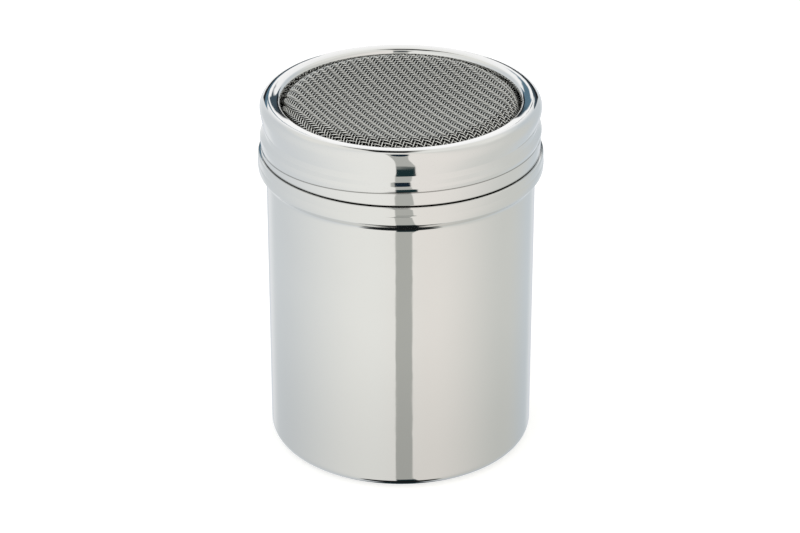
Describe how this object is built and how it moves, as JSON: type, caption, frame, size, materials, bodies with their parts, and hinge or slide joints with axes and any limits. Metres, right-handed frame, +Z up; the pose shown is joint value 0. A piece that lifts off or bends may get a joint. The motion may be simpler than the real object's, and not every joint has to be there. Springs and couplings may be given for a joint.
{
  "type": "sugar shaker",
  "caption": "Round polished steel sugar shaker: a straight-sided cup with a stop bead and threaded neck, and a screw lid that clamps a dished wire screen for dusting.",
  "frame": {"origin": "centre of the foot ring, on the table", "axes": "+Z up along the shaker's axis, -Y toward the front as pictured"},
  "size_m": [0.0744, 0.0744, 0.097],
  "materials": {
    "cup_steel": "mirror-polished stainless steel with faint turning lines",
    "lid_steel": "mirror-polished stainless steel",
    "wire_cloth": "drawn stainless wire, twill woven",
    "ring_steel": "plain rolled stainless sheet"
  },
  "bodies": {
    "cup": {"cup_body": "cup_steel"},
    "lid_carrier": {"mesh_ring": "ring_steel"},
    "lid": {"lid_shell": "lid_steel", "mesh_screen": "wire_cloth"}
  },
  "joints": [
    {"name": "lid_rise", "type": "slide", "parent": "cup", "child": "lid_carrier", "axis": [0, 0, 1], "range_m": [0, 0.00961]},
    {"name": "lid_turn", "type": "hinge", "parent": "lid_carrier", "child": "lid", "pos_m": [0, 0, 0.0875], "axis": [0, 0, 1], "range_deg": [0, 1080]}
  ],
  "couplings": [
    {"joint": "lid_rise", "follows": "lid_turn", "m_per_rad": 0.0005093}
  ]
}
